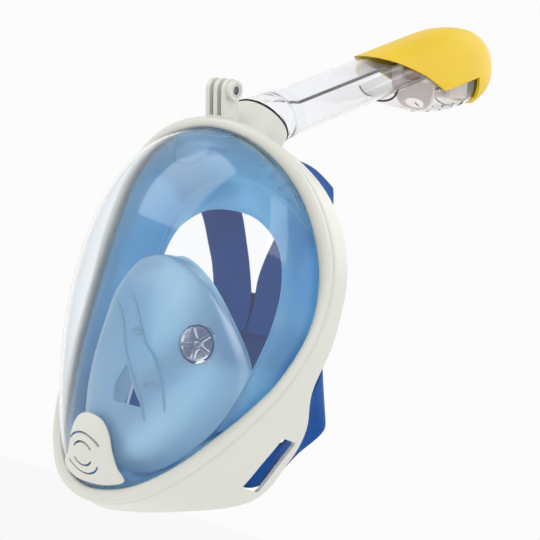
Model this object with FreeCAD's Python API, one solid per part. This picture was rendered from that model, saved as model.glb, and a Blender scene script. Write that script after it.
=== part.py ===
import FreeCAD, Part
import math
import os

from FreeCAD import Vector

# Full face snorkel, worn pose, millimetres: the face looks towards -Y, +Z is up, +X is the wearer's left.
# The origin is the middle of the face opening, on the plane of the face seal.

# Lens rim and the rear rim of the frame, right half from top to bottom
lens_rim = [
    (0, -41.5, 119), (39.6, -36, 110), (68.9, -23, 86.5), (85.4, -9, 51), (89.5, -4, 15), (82.4, -9, -21.5),
    (73, -16.2, -44), (61, -24.8, -66), (45.5, -34, -89), (25.5, -41.8, -106.5), (0, -46, -113.5),
]
rear_rim = [
    (0, -18, 126), (41, -14, 118), (73, 0, 95), (91.4, 12, 58), (94.4, 17, 15), (88, 20, -21),
    (81, 36, -42), (74, 38, -64), (62, 28, -94), (34, -9, -114), (0, -30, -123.5),
]
# Crest of the face seal and the edge of the face opening, at the same stations
seal_crest = [
    (0, 2, 101), (33, 7, 94), (57, 17, 76), (71, 28, 47), (75, 32, 13), (69, 31, -19),
    (62, 26, -40), (53, 18, -62), (39, 7, -84), (22, -3, -99), (0, -7, -104),
]
face_edge = [
    (0, 0, 79), (24, 1, 75), (43, 4, 60), (51, 8, 36), (52, 9, 10), (49, 8, -15),
    (45, 7, -36), (38, 5, -57), (28, 0, -77), (15, -5, -90), (0, -8, -94),
]

# Frame section
wall = 2.6
widest_bead = 8.0
lip_height = 0.5
bead_height = 1.8
crease_depth = 0.9
seat_depth = 1.2
band_start = 7.0

# Lens
lens_wall = 2.2
lens_flange = 1.5
lens_step = 1.4
lens_back = 3.2
lens_middle_z = 5.0
lens_profile = [
    (119, -41.5), (108, -49), (92, -57), (70, -64), (40, -69), (10, -70.5), (-20, -70.5),
    (-50, -68.5), (-74, -65), (-95, -57.5), (-113.5, -46),
]
lens_steps = [1.0, 0.97, 0.9, 0.8, 0.65, 0.45, 0.14]

# Skirt and clamp ring
skirt_wall = 2.0
clamp_thickness = 3.0
screw_radius = 1.1

# Nose cup rings, right half from the nose bridge to the chin
cup_front = [
    (0, -50, 28), (12, -53, 23), (20, -56, 8), (22, -56, -15),
    (21, -56, -40), (18, -54, -62), (12, -50, -82), (0, -47, -90),
]
cup_bulge = [
    (0, -42, 34), (19, -42, 28), (34, -24, 9), (43, -17, -15),
    (42, -18, -42), (35, -25, -68), (21, -34, -89), (0, -38, -98),
]
cup_edge = [
    (0, -31, 36), (18, -25, 28), (32, -8, 9), (43, 13, -17),
    (43, 12, -42), (36, 6, -68), (20, -4, -89), (0, -8, -98),
]
cup_wall = 2.0

# Mushroom valves
valve_radius = 12.0
valve_thickness = 4.0
valve_port_radius = 9.4
valve_stem_hole = 1.8
valve_spoke = 2.2
flap_radius = 10.4
flap_thickness = 0.8
flap_stem = 1.7
flap_gap = 0.15
inhale_centre = Vector(35.0, -33.8, -14.5)
inhale_axis = Vector(0.85, -0.52, -0.05).normalize()
drain_centre = Vector(0, -57.0, -93.5)
drain_axis = Vector(0, -0.85, -0.52).normalize()
drain_scale = 0.75

# Chin cover, as points on the lens seen from the front
cover_outline = [(0, -72), (9, -74), (14.5, -81), (17, -90), (20, -98), (24, -104), (14, -109), (0, -110.5)]
cover_wall = 1.6
cover_vent_radii = [7.5, 13.0]
cover_vent_width = 1.3

# Snorkel socket and plug: a round plug-in joint that leans back from the vertical
mouth = Vector(0, 1.2, 139.5)
plug_lean = 22.4
socket_radius = 20.0
socket_bore = 17.0
socket_depth = 24.0
plug_clearance = 0.07
plug_length = 17.0
plug_wall = 1.8
seal_thickness = 1.4

# Snorkel tube: local x is across, y is the underside, z runs along the tube from the socket mouth
tube_lean = 53.4
tube_half_width = 19.2
tube_half_depth = 15.7
tube_wall = 1.7
collar_end = 22.0
tube_start = 14.0
tube_end = 178.0
partition_thickness = 1.6
partition_y = -8.3

# Head of the snorkel: station along the tube, top, underside, half width
head_sections = [
    (112, -17.2, 16.8, 20.7), (135, -17.4, 21.5, 20.9), (160, -17.9, 33, 21.4), (190, -18.2, 43, 22.2),
    (222, -16.5, 47.5, 22.6), (246, -11, 48, 21.6), (262, -2, 43.5, 18),
    (271, 9, 36, 12), (274, 16, 30, 6.5),
]
cap_wall = 2.2
cage_wall = 1.5
# Lower edge of the cap's side: station along the tube and depth
cap_edge = [
    (120, -17.5), (136, -10), (166, 6), (191, 23), (238, 23.5),
    (240, 41), (250, 50), (285, 50), (285, -40), (120, -40),
]
cage_start = 135.0
cage_top = 9.0
cage_slot = 4.0

# Float valve in the head: depth and station of the pivot, and the swing from open to closed
float_pivot = (21.0, 186.5)
float_pin_radius = 1.5
float_pin_clearance = 0.06
float_swing = 14.0

# Straps
strap_width = 33.0
strap_thickness = 1.8
pad_centre = Vector(-14, 62, 14)
pad_size = (80.0, 5.0, 52.0)
bar_radius = 2.0
lug_radius = 3.4
lower_bar_centre = Vector(59.5, 17.2, -69)
lower_bar_axis = Vector(0.24, 0.12, 0.96).normalize()
upper_bar_centre = Vector(49.5, -14, 103.5)
upper_bar_axis = Vector(0.78, 0.3, -0.55).normalize()


def vec(p):
    return Vector(p[0], p[1], p[2])


def mirrored(shape):
    return shape.mirror(Vector(0, 0, 0), Vector(1, 0, 0))


def parameters_of(half):
    """Centripetal parameters of a closed curve through a right half and its mirror image."""
    full = full_ring(half)
    full.append(full[0])
    values = [0.0]
    for a, b in zip(full, full[1:]):
        values.append(values[-1] + math.sqrt((b - a).Length))
    return values


def full_ring(half):
    points = [vec(p) for p in half]
    left = [Vector(-p.x, p.y, p.z) for p in reversed(points[1:-1])]
    return points + left


def closed_rail(half, parameters):
    curve = Part.BSplineCurve()
    curve.interpolate(Points=full_ring(half), PeriodicFlag=True, Parameters=parameters)
    return curve.toShape()


def solid_of(faces):
    shell = Part.makeShell(faces)
    shell.sewShape()
    solid = Part.makeSolid(shell)
    if solid.Volume < 0:
        solid.reverse()
    return solid


def ring_solid(halves, parameters):
    """Closed ring whose section is the polygon through the given rails."""
    rails = [closed_rail(half, parameters) for half in halves]
    faces = [Part.makeRuledSurface(a, b) for a, b in zip(rails, rails[1:] + rails[:1])]
    return solid_of(faces)


def bowl_solid(halves, parameters):
    """Bowl whose first and last rails are flat and are closed by a face."""
    rails = [closed_rail(half, parameters) for half in halves]
    faces = [Part.makeRuledSurface(a, b) for a, b in zip(rails, rails[1:])]
    faces.append(Part.Face(Part.Wire(rails[0])))
    faces.append(Part.Face(Part.Wire(rails[-1])))
    return solid_of(faces)


rim_parameters = parameters_of(lens_rim)


def outward_of(half):
    """Outward direction across each station of a half ring, in the XZ plane."""
    result = []
    for i, p in enumerate(half):
        before = half[i - 1] if i > 0 else (-half[1][0], 0, half[1][2])
        after = half[i + 1] if i < len(half) - 1 else (-half[-2][0], 0, half[-2][2])
        along = Vector(after[0] - before[0], 0, after[2] - before[2]).normalize()
        result.append(Vector(-along.z, 0, along.x))
    return result


rim_outward = outward_of(lens_rim)
rim_gap = [(vec(r) - vec(e)).dot(o) for e, r, o in zip(lens_rim, rear_rim, rim_outward)]
bead_width = [min(gap, widest_bead) for gap in rim_gap]


def rim_offset(out, back, share=0.0):
    """Lens rim moved outward, by a length and a share of the bead's width, and backward."""
    stations = zip(lens_rim, rim_outward, bead_width)
    return [vec(e) + o * (out + share * w) + Vector(0, back, 0) for e, o, w in stations]


def moved(half, outward, out, back):
    return [vec(p) + o * out + Vector(0, back, 0) for p, o in zip(half, outward)]


def interpolate(table, x):
    """Straight-line value of a falling table of (x, value)."""
    for (xa, a), (xb, b) in zip(table, table[1:]):
        if x >= xb:
            return a + (b - a) * min(max((x - xa) / (xb - xa), 0), 1)
    return table[-1][1]


def smooth_profile():
    curve = Part.BSplineCurve()
    curve.interpolate([Vector(0, y, z) for z, y in lens_profile])
    return [(p.z, p.y) for p in curve.discretize(120)]


def rim_table(inset):
    """Half width and depth of the lens rim against height."""
    half = rim_offset(-inset, 0)
    points = closed_rail(half, rim_parameters).discretize(400)
    right = [p for p in points if p.x >= -0.01 and p.z <= half[0].z]
    right.sort(key=lambda p: -p.z)
    return [(p.z, p.x) for p in right], [(p.z, p.y) for p in right]


profile_table = smooth_profile()


def lens_fullness(z):
    return 1.95 + 0.0036 * z - 0.0025 * max(-25 - z, 0)


def lens_surface(inset):
    """Depth of the lens at a place seen from the front."""
    widths, depths = rim_table(inset)

    def depth(x, z):
        edge = interpolate(depths, z)
        front = min(interpolate(profile_table, z) + inset, edge)
        share = min(abs(x) / max(interpolate(widths, z), 0.01), 1)
        n = lens_fullness(z)
        return edge + (front - edge) * (1 - share ** n) ** (1 / n)

    return depth


lens_outside = lens_surface(0)
lens_inside = lens_surface(lens_wall)


def lens_rings(depth, inset):
    rings = []
    for k in lens_steps[1:]:
        ring = []
        for p in rim_offset(-inset, 0):
            x = p.x * k
            z = lens_middle_z + (p.z - lens_middle_z) * k
            flat = depth(0, lens_middle_z) if k == lens_steps[-1] else depth(x, z)
            ring.append(Vector(x, flat, z))
        rings.append(ring)
    return rings


def make_lens():
    edge = [rim_offset(-lens_wall, lens_back), rim_offset(lens_flange, lens_back)]
    edge = edge + [rim_offset(lens_flange, lens_step), rim_offset(0, lens_step), rim_offset(0, 0)]
    inner = list(reversed(lens_rings(lens_inside, lens_wall)))
    outer = lens_rings(lens_outside, 0)
    return bowl_solid(inner + edge + outer, rim_parameters)


def disc(centre, axis, radius, start, end):
    return Part.makeCylinder(radius, end - start, centre + axis * start, axis)


def along(start, end, radius):
    return Part.makeCylinder(radius, (end - start).Length, start, end - start)


def turned_box(centre, ax, ay, az, size):
    """Box with its middle at a place and its sides along three directions."""
    box = Part.makeBox(size[0], size[1], size[2], Vector(-size[0] / 2, -size[1] / 2, -size[2] / 2))
    rows = [(ax.x, ay.x, az.x, centre.x), (ax.y, ay.y, az.y, centre.y), (ax.z, ay.z, az.z, centre.z)]
    matrix = FreeCAD.Matrix(*rows[0], *rows[1], *rows[2], 0, 0, 0, 1)
    return box.transformGeometry(matrix)


def across(axis):
    side = axis.cross(Vector(0, 0, 1)).normalize()
    return side, axis.cross(side).normalize()


def valve_seat(centre, axis, scale=1.0):
    deep = valve_thickness * scale
    port_radius = valve_port_radius * scale
    seat = disc(centre, axis, valve_radius * scale, -deep / 2, deep / 2)
    ports = disc(centre, axis, port_radius, -deep, deep)
    ports = ports.cut(disc(centre, axis, (valve_stem_hole + 1.6) * scale, -deep, deep))
    side, up = across(axis)
    for i in range(5):
        angle = math.radians(90 + 72 * i)
        spoke = side * math.cos(angle) + up * math.sin(angle)
        middle = centre + spoke * port_radius / 2
        size = (port_radius + 2, valve_spoke * scale, 3 * deep)
        ports = ports.cut(turned_box(middle, spoke, axis.cross(spoke), axis, size))
    return seat.cut(ports).cut(disc(centre, axis, valve_stem_hole * scale, -deep, deep))


def valve_flap(centre, axis, scale=1.0):
    """Mushroom flap on the side that the axis points away from."""
    back = -valve_thickness * scale / 2 - flap_gap
    cap = disc(centre, axis, flap_radius * scale, back - flap_thickness, back)
    stem = disc(centre, axis, flap_stem * scale, back, valve_thickness * scale / 2 + 1.2)
    return cap.fuse(stem)


def frame_rails():
    rear = [vec(p) for p in rear_rim]
    return [
        rim_offset(0.2, -lip_height),
        rim_offset(0, -bead_height, 0.5),
        rim_offset(0.2, 1.8, 1.0),
        rim_offset(-crease_depth, 5.0, 1.0),
        rim_offset(0.3, band_start, 1.0),
        rear,
        moved(rear_rim, rim_outward, -wall, 0),
        rim_offset(-wall, band_start + 1, 1.0),
        rim_offset(-wall, seat_depth, 1.0),
        rim_offset(0.2, seat_depth),
    ]


def plug_axis():
    return Vector(0, math.sin(math.radians(plug_lean)), math.cos(math.radians(plug_lean)))


def local(shape):
    """Places a shape drawn along the tube into the mask's frame."""
    placed = shape.copy()
    leaning = FreeCAD.Placement(mouth, FreeCAD.Rotation(Vector(1, 0, 0), -tube_lean))
    placed.Placement = leaning.multiply(shape.Placement)
    return placed


def rounded_section(z, top, bottom, half_width, fullness=2.4, count=20):
    middle = (top + bottom) / 2
    depth = (bottom - top) / 2
    points = []
    for i in range(count):
        angle = 2 * math.pi * i / count
        c, s = math.cos(angle), math.sin(angle)
        x = half_width * math.copysign(abs(c) ** (2 / fullness), c)
        y = middle + depth * math.copysign(abs(s) ** (2 / fullness), s)
        points.append(Vector(x, y, z))
    curve = Part.BSplineCurve()
    curve.interpolate(Points=points, PeriodicFlag=True)
    return Part.Wire(curve.toShape())


def head_body(inset):
    wires = []
    for z, top, bottom, half_width in head_sections:
        end = z - inset if z > 200 else z
        wires.append(rounded_section(end, top + inset, bottom - inset, half_width - inset))
    return Part.makeLoft(wires, True, False)


def oval(half_width, half_depth, start, end):
    ellipse = Part.Ellipse(Vector(0, 0, start), half_width, half_depth)
    face = Part.Face(Part.Wire(ellipse.toShape()))
    return face.extrude(Vector(0, 0, end - start))


def side_prism(points, half_width):
    """Prism across the tube from an outline of (station along the tube, depth)."""
    corners = [Vector(-half_width, y, z) for z, y in points]
    face = Part.Face(Part.makePolygon(corners + corners[:1]))
    return face.extrude(Vector(2 * half_width, 0, 0))


def collar(outset, start, end):
    """Elbow between the round mouth and the oval tube."""
    axis = plug_axis()
    ring = Part.Circle(mouth + axis * start, axis, socket_radius - 0.1 + outset)
    low = Part.Wire(ring.toShape())
    width = tube_half_width + 0.9 + outset
    depth = tube_half_depth + 0.9 + outset
    high = Part.Wire(Part.Ellipse(Vector(0, 0, end), width, depth).toShape())
    return Part.makeLoft([low, local(high)], True, False)


def strap_loop(centre, direction):
    """Sleeve of webbing round a bar."""
    start = centre - direction * (strap_width / 2)
    end = centre + direction * (strap_width / 2)
    gap = 0.05
    return along(start, end, bar_radius + gap + strap_thickness).cut(along(start, end, bar_radius + gap))


def flat_between(a, b):
    """Ruled face between two curves with the same knots."""
    surface = Part.BSplineSurface()
    poles = [a.getPoles(), b.getPoles()]
    surface.buildFromPolesMultsKnots(
        poles, [2, 2], a.getMultiplicities(), [0, 1], a.getKnots(), False, False, 1, a.Degree
    )
    return surface.toShape()


def strap(stations):
    """Flat strap through stations of a middle point and a direction across it."""
    edges = [[], [], [], []]
    parameters = [0.0]
    for i, (point, side) in enumerate(stations):
        before = vec(stations[max(i - 1, 0)][0])
        after = vec(stations[min(i + 1, len(stations) - 1)][0])
        wide = vec(side).normalize() * (strap_width / 2)
        thick = (after - before).cross(wide).normalize() * (strap_thickness / 2)
        p = vec(point)
        if i > 0:
            parameters.append(parameters[-1] + math.sqrt((p - before).Length))
        for edge, corner in zip(edges, (wide + thick, thick - wide, wide * -1 - thick, wide - thick)):
            edge.append(p + corner)
    curves = []
    for edge in edges:
        curve = Part.BSplineCurve()
        curve.interpolate(Points=edge, Parameters=parameters)
        curves.append(curve)
    faces = [flat_between(a, b) for a, b in zip(curves, curves[1:] + curves[:1])]
    for end in (0, -1):
        corners = [edge[end] for edge in edges]
        faces.append(Part.Face(Part.makePolygon(corners + corners[:1])))
    return solid_of(faces)


def strap_anchor(frame, centre, direction, half_length, outward):
    """Steel bar, and the two frame lugs that reach from its ends to the middle of the frame's wall."""
    bar = along(centre - direction * half_length, centre + direction * half_length, bar_radius)
    lugs = []
    for sign in (-1, 1):
        root = centre + direction * sign * (half_length - lug_radius)
        crossing = Part.makeLine(root, root + outward * 40).common(frame)
        distances = sorted((v.Point - root).Length for v in crossing.Vertexes)
        reach = (distances[0] + distances[1]) / 2
        lugs.append(along(root - outward * 3, root + outward * reach, lug_radius))
    return bar, lugs


# Strap stations, from the bar on the frame to the rear pad, and the folded-back end of the upper strap
upper_left = [
    ((50, -12, 104), (0.78, 0.3, -0.55)), ((49, 6, 103), (0.82, 0.2, -0.53)),
    ((43, 24, 98), (0.86, 0, -0.5)),
    ((32, 37, 86), (0.9, -0.1, -0.4)), ((20, 45, 68), (0.95, -0.1, -0.3)), ((14, 52, 48), (1, 0, -0.1)),
    ((13, 58.2, 30), (1, 0, 0)),
]
upper_right = [
    ((-50, -12, 104), (0.78, -0.3, 0.55)), ((-50, 8, 104), (0.85, -0.2, 0.48)),
    ((-47, 28, 100), (0.92, 0, 0.35)),
    ((-41, 41, 86), (1, 0, 0.2)), ((-34, 48, 68), (1, 0, 0.1)), ((-27, 53, 50), (1, 0, 0)),
    ((-22, 58.2, 30), (1, 0, 0)),
]
upper_tail = [
    ((50.9, -12, 105.2), (0.78, 0.3, -0.55)), ((54.5, 10.5, 103), (0.55, 0.15, -0.8)),
    ((55, 30.4, 95), (0.29, 0, -0.96)),
]
lower_left = [
    ((60, 20, -71), (0.24, 0.12, 0.96)), ((66, 29, -69), (0.3, 0.05, 0.95)),
    ((66.5, 40, -58), (0.2, -0.25, 0.93)),
    ((65, 53.4, -41), (0.1, -0.4, 0.9)), ((66, 65.6, -21.5), (-0.15, -0.45, 0.88)),
    ((55, 72.5, -9), (-0.1, -0.25, 0.96)), ((36, 72, 2), (0, -0.05, 1)),
    ((14, 66.2, 10), (0, 0, 1)),
]
lower_right = [
    ((-60, 20, -71), (-0.24, 0.12, 0.96)), ((-66, 29, -69), (-0.3, 0.05, 0.95)),
    ((-66.5, 40, -58), (-0.2, -0.25, 0.93)),
    ((-65, 53.4, -41), (-0.1, -0.4, 0.9)), ((-66, 65.6, -24), (0.1, -0.4, 0.9)),
    ((-61, 72.5, -12), (0.05, -0.25, 0.96)), ((-52, 71.5, -3), (0, -0.05, 1)), ((-42, 66.2, 5), (0, 0, 1)),
]


def make_skirt():
    flange = [rim_offset(lens_flange, 3.4), rim_offset(-4.5, 3.4)]
    inner = [moved(seal_crest, rim_outward, -1.2, -1.6), moved(face_edge, rim_outward, 0, -skirt_wall / 2)]
    outer = [moved(face_edge, rim_outward, 0, skirt_wall / 2), moved(seal_crest, rim_outward, 0.8, 0.4)]
    back = [rim_offset(-2.4, 5.4), rim_offset(lens_flange, 5.4)]
    return ring_solid(flange + inner + outer + back, rim_parameters)


def make_nose_cup():
    outward = outward_of(cup_front)
    middle = Vector(0, -58.5, -28)

    def cap(back):
        return [Vector(p[0] * 0.4, middle.y + back, middle.z + (p[2] - middle.z) * 0.4) for p in cup_front]

    inner = [
        cap(cup_wall), moved(cup_front, outward, -1.4, 1.6), moved(cup_bulge, outward, -1.8, 1.0),
        moved(cup_edge, outward, -cup_wall, 0),
    ]
    outer = [moved(ring, outward, 0, 0) for ring in (cup_edge, cup_bulge, cup_front)] + [cap(0)]
    return bowl_solid(inner + outer, parameters_of(cup_front))


def make_chin_cover():
    up = Vector(1, 0, 0).cross(drain_axis)
    if up.z < 0:
        up = up * -1

    def on_lens(share, height):
        ring = []
        for x, z in cover_outline:
            px = x * share
            pz = drain_centre.z + (z - drain_centre.z) * share
            ring.append(Vector(px, lens_outside(px, pz), pz) + drain_axis * height)
        return ring

    def on_plane(share, height):
        return [
            drain_centre + Vector(x * share, 0, 0) + up * ((z - drain_centre.z) * share) + drain_axis * height
            for x, z in cover_outline
        ]

    rails = [on_plane(0.32, 4.4), on_plane(0.66, 3.2), on_lens(0.9, 0.4)]
    rails += [on_lens(1.0, 0.4), on_lens(1.0, 2.8), on_plane(0.76, 4.6), on_plane(0.36, 4.4 + cover_wall)]
    cover = bowl_solid(rails, parameters_of([(x, 0, z) for x, z in cover_outline]))
    for radius in cover_vent_radii:
        cut = disc(drain_centre, drain_axis, radius + cover_vent_width / 2, 0, 12)
        cut = cut.cut(disc(drain_centre, drain_axis, radius - cover_vent_width / 2, -1, 13))
        middle = drain_centre + drain_axis * 6
        bridge = turned_box(middle, up, Vector(1, 0, 0), drain_axis, (radius * 0.9, 60, 16))
        cover = cover.cut(cut.cut(bridge))
    return cover


def socket_body(low, high, radius_low, radius_high):
    axis = plug_axis()
    wires = [
        Part.Wire(Part.Circle(mouth + axis * low, axis, radius_low).toShape()),
        Part.Wire(Part.Circle(mouth + axis * high, axis, radius_high).toShape()),
    ]
    return Part.makeLoft(wires, True, False)


def make_camera_mount():
    lean = math.radians(27)
    up = Vector(0, -math.sin(lean), math.cos(lean))
    depth = Vector(0, math.cos(lean), math.sin(lean))
    foot = Vector(0, -35.4, 126.9)
    bore_centre = foot + up * 18.5
    across_axis = Vector(1, 0, 0)
    body = turned_box(foot - up * 1.5, across_axis, depth, up, (15.4, 14, 9))
    for x in (-6.2, 0, 6.2):
        centre = foot + up * 9.25 + across_axis * x
        body = body.fuse(turned_box(centre, across_axis, depth, up, (3, 14, 18.5)))
        body = body.fuse(disc(bore_centre + across_axis * x, across_axis, 7, -1.5, 1.5))
    body = body.fuse(disc(bore_centre, across_axis, 6.2, 7.7, 11.4))
    body = body.cut(disc(bore_centre, across_axis, 2.6, -10, 14))
    corners = [
        bore_centre + across_axis * 7.9
        + (depth * math.cos(math.radians(a)) + up * math.sin(math.radians(a))) * 4.65
        for a in range(30, 391, 60)
    ]
    pocket = Part.Face(Part.makePolygon(corners)).extrude(across_axis * 4)
    nut = pocket.common(disc(bore_centre, across_axis, 8, 7.9, 11.2))
    nut = nut.cut(disc(bore_centre, across_axis, 2.6, 0, 14))
    return body.cut(pocket), nut


def make_airway_plate():
    axis = plug_axis()
    plate = disc(mouth, axis, socket_bore - 0.05, -20.4, -18.2)
    plate = plate.cut(disc(mouth, axis, 5.5, -22, -17))
    for side in (-1, 1):
        centre = mouth + Vector(side * 10.2, 0, 0)
        plate = plate.cut(disc(centre, axis, 0.9, -22, -17))
        for i in range(4):
            angle = math.radians(45 + 90 * i)
            hole = centre + Vector(2.3 * math.cos(angle), 0, 0)
            hole = hole + axis.cross(Vector(1, 0, 0)) * (2.3 * math.sin(angle))
            plate = plate.cut(disc(hole, axis, 1.1, -22, -17))
    return plate


def make_exhale_flap(side):
    axis = plug_axis()
    centre = mouth + Vector(side * 10.2, 0, 0)
    return disc(centre, axis, 4.2, -18.1, -17.5).fuse(disc(centre, axis, 0.8, -21.6, -17.5))


def make_cage():
    inside = head_body(cap_wall + cage_wall)
    cage = head_body(cap_wall + 0.1).cut(inside)
    cage = cage.cut(Part.makeBox(80, 100, cage_start - 95, Vector(-40, -40, 95)))
    cage = cage.cut(Part.makeBox(80, cage_top + 40, tube_end + 0.2 - 95, Vector(-40, -40, 95)))
    cage = cage.cut(float_pin_at(30))
    for i in range(7):
        start = 140 + i * 14
        cage = cage.cut(Part.makeBox(26, 20, cage_slot, Vector(-13, 33, start)))
    return cage


def make_cap():
    shell = head_body(0).cut(head_body(cap_wall))
    shell = shell.common(side_prism(cap_edge, 40))
    return shell.cut(oval(tube_half_width + 0.1, tube_half_depth + 0.1, 90, tube_end + 0.2))


def make_tube():
    tube = oval(tube_half_width, tube_half_depth, tube_start, tube_end)
    inner_width = tube_half_width - tube_wall
    inner_depth = tube_half_depth - tube_wall
    return tube.cut(oval(inner_width, inner_depth, tube_start - 1, tube_end + 1))


def make_partition():
    plate = Part.makeBox(2 * tube_half_width, partition_thickness, tube_end - collar_end - 2)
    plate.translate(Vector(-tube_half_width, partition_y - partition_thickness / 2, collar_end + 1))
    inside = oval(tube_half_width - tube_wall - 0.05, tube_half_depth - tube_wall - 0.05, 0, 200)
    return plate.common(inside)


def make_elbow():
    axis = plug_axis()
    body = collar(0, seal_thickness + 0.1, collar_end)
    hollow = collar(-plug_wall - 1.9, seal_thickness, collar_end + 1)
    body = body.cut(hollow)
    tube_room = local(oval(tube_half_width + 0.05, tube_half_depth + 0.05, tube_start - 0.1, 60))
    body = body.cut(tube_room)
    spigot = disc(mouth, axis, socket_bore - plug_clearance, -plug_length, seal_thickness + 3)
    inner = socket_bore - plug_clearance - plug_wall
    spigot = spigot.cut(disc(mouth, axis, inner, -plug_length - 1, seal_thickness + 4))
    return body.fuse(spigot.cut(tube_room))


def float_parts():
    """Arm, seal and block of the float valve, swung from the closed to the open place."""
    y, z = float_pivot
    across_axis = Vector(1, 0, 0)
    arm = Part.makeBox(16, 20, 2, Vector(-8, 0, 183.8))
    arm = arm.fuse(Part.makeCylinder(3.4, 16, Vector(-8, y, z), across_axis))
    arm = arm.fuse(Part.makeBox(12, 3.6, 22, Vector(-6, y - 2.4, z)))
    eye_radius = float_pin_radius + float_pin_clearance
    arm = arm.cut(Part.makeCylinder(eye_radius, 30, Vector(-15, y, z), across_axis))
    seal = Part.makeBox(22, 18, 2, Vector(-11, -1, 181.7))
    block = Part.makeBox(27, 16, 29, Vector(-13.5, 12, 207))
    block = block.makeFillet(3, block.Edges).cut(arm)
    turned = []
    for shape in (arm, seal, block):
        open_shape = shape.copy()
        open_shape.rotate(Vector(0, y, z), across_axis, -float_swing)
        turned.append(open_shape)
    return turned


def float_pin_at(half_length):
    y, z = float_pivot
    return Part.makeCylinder(float_pin_radius, 2 * half_length, Vector(-half_length, y, z), Vector(1, 0, 0))


def make_screws():
    """Six clamp screws with round heads, driven from the back."""
    group = []
    for i in (1, 3, 7):
        for side in (-1, 1):
            p = vec(lens_rim[i])
            place = Vector(side * p.x, p.y, p.z)
            back = Vector(0, 1, 0)
            head = disc(place, back, screw_radius * 1.7, 8.65, 10)
            group.append(disc(place, back, screw_radius, 2.2, 8.7).fuse(head))
    return group


def make_port_seat():
    slab = Part.makeBox(60, 90, 3, Vector(-30, -30, tube_end + 0.3))
    seat = head_body(cap_wall + cage_wall + 0.05).common(slab)
    port = oval(9, 7, tube_end - 2, tube_end + 6)
    port.translate(Vector(0, 8, 0))
    drain = oval(9, 4, tube_end - 2, tube_end + 6)
    drain.translate(Vector(0, 31, 0))
    return seat.cut(port).cut(drain)


def save(name, shape):
    shape.exportStep("parts/" + name + ".step")
    print(name, round(shape.Volume / 1000, 2), "cm3", shape.isValid(), len(shape.Solids))


os.makedirs("parts", exist_ok=True)

# Mask body
socket_outer = socket_body(-socket_depth, 0, socket_radius + 2, socket_radius)
frame = ring_solid(frame_rails(), rim_parameters)
slot_corners = [
    Vector(50, 20, -51.5), Vector(50, 34, -51.5), Vector(50, 28, -87),
    Vector(50, 14, -87), Vector(50, 20, -51.5),
]
slot = Part.Face(Part.makePolygon(slot_corners)).extrude(Vector(50, 0, 0))
slot = slot.makeFillet(1.5, [e for e in slot.Edges if abs(e.tangentAt(e.FirstParameter).x) > 0.9])
frame = frame.cut(slot).cut(mirrored(slot)).cut(socket_outer)

lower_bar, lower_lugs = strap_anchor(frame, lower_bar_centre, lower_bar_axis, 26, Vector(1, 0, 0))
upper_bar, upper_lugs = strap_anchor(frame, upper_bar_centre, upper_bar_axis, 20, Vector(0.55, 0, 0.83))
for lug in lower_lugs + upper_lugs:
    frame = frame.fuse(lug).fuse(mirrored(lug))
for bar in (lower_bar, upper_bar):
    frame = frame.cut(bar).cut(mirrored(bar))
camera_mount, mount_nut = make_camera_mount()

socket = socket_outer.cut(disc(mouth, plug_axis(), socket_bore, -20.5, 1))
socket = socket.cut(disc(mouth, plug_axis(), socket_bore - 2.5, -40, 1))

lens = make_lens()
skirt = make_skirt()
clamp_front = 5.6
clamp_corners = [(1.8, clamp_front), (-1.8, clamp_front)]
clamp_corners = clamp_corners + [(-1.8, clamp_front + clamp_thickness), (1.8, clamp_front + clamp_thickness)]
clamp = ring_solid([rim_offset(out, back) for out, back in clamp_corners], rim_parameters)
screws = make_screws()
for screw in screws:
    lens = lens.cut(screw)
    skirt = skirt.cut(screw)
    clamp = clamp.cut(screw)
drain_seat = valve_seat(drain_centre, drain_axis * -1, drain_scale)
lens = lens.cut(disc(drain_centre, drain_axis, valve_radius * drain_scale, -8, 8))
nose_cup = make_nose_cup()
inhale_room = disc(inhale_centre, inhale_axis, valve_radius, -9, 9)
nose_cup = nose_cup.cut(inhale_room).cut(mirrored(inhale_room))

save("frame_ring", frame)
save("snorkel_socket", socket)
camera_mount = max(camera_mount.cut(frame).cut(socket_outer).Solids, key=lambda solid: solid.Volume)
save("camera_mount", camera_mount)
save("mount_nut", mount_nut)
save("lens", lens)
save("face_skirt", skirt)
save("clamp_ring", clamp)
save("clamp_screws", Part.makeCompound(screws))
save("nose_cup", nose_cup)
save("drain_seat", drain_seat)
save("drain_flap", valve_flap(drain_centre, drain_axis * -1, drain_scale))
save("chin_cover", make_chin_cover())
save("airway_plate", make_airway_plate())
for name, side in (("left", 1), ("right", -1)):
    save("exhale_flap_" + name, make_exhale_flap(side))
inhale_seat = valve_seat(inhale_centre, inhale_axis)
inhale_flap = valve_flap(inhale_centre, inhale_axis)
save("inhale_seat_left", inhale_seat)
save("inhale_seat_right", mirrored(inhale_seat))
save("inhale_flap_left", inhale_flap)
save("inhale_flap_right", mirrored(inhale_flap))
save("lower_bar_left", lower_bar)
save("lower_bar_right", mirrored(lower_bar))
save("upper_bar_left", upper_bar)
save("upper_bar_right", mirrored(upper_bar))
lower_loop = strap_loop(lower_bar_centre, lower_bar_axis).cut(frame)
upper_loop = strap_loop(upper_bar_centre, upper_bar_axis).fuse(strap(upper_tail)).cut(frame)
for name, stations, loop, bar in (
    ("upper_strap_left", upper_left, upper_loop, upper_bar),
    ("upper_strap_right", upper_right, mirrored(upper_loop), mirrored(upper_bar)),
    ("lower_strap_left", lower_left, lower_loop, lower_bar),
    ("lower_strap_right", lower_right, mirrored(lower_loop), mirrored(lower_bar)),
):
    webbing = strap(stations).cut(frame).fuse(loop).cut(bar)
    save(name, max(webbing.Solids, key=lambda solid: solid.Volume))
pad = turned_box(pad_centre, Vector(1, 0, 0), Vector(0, 1, 0), Vector(0, 0, 1), pad_size)
save("rear_pad", pad)

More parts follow.
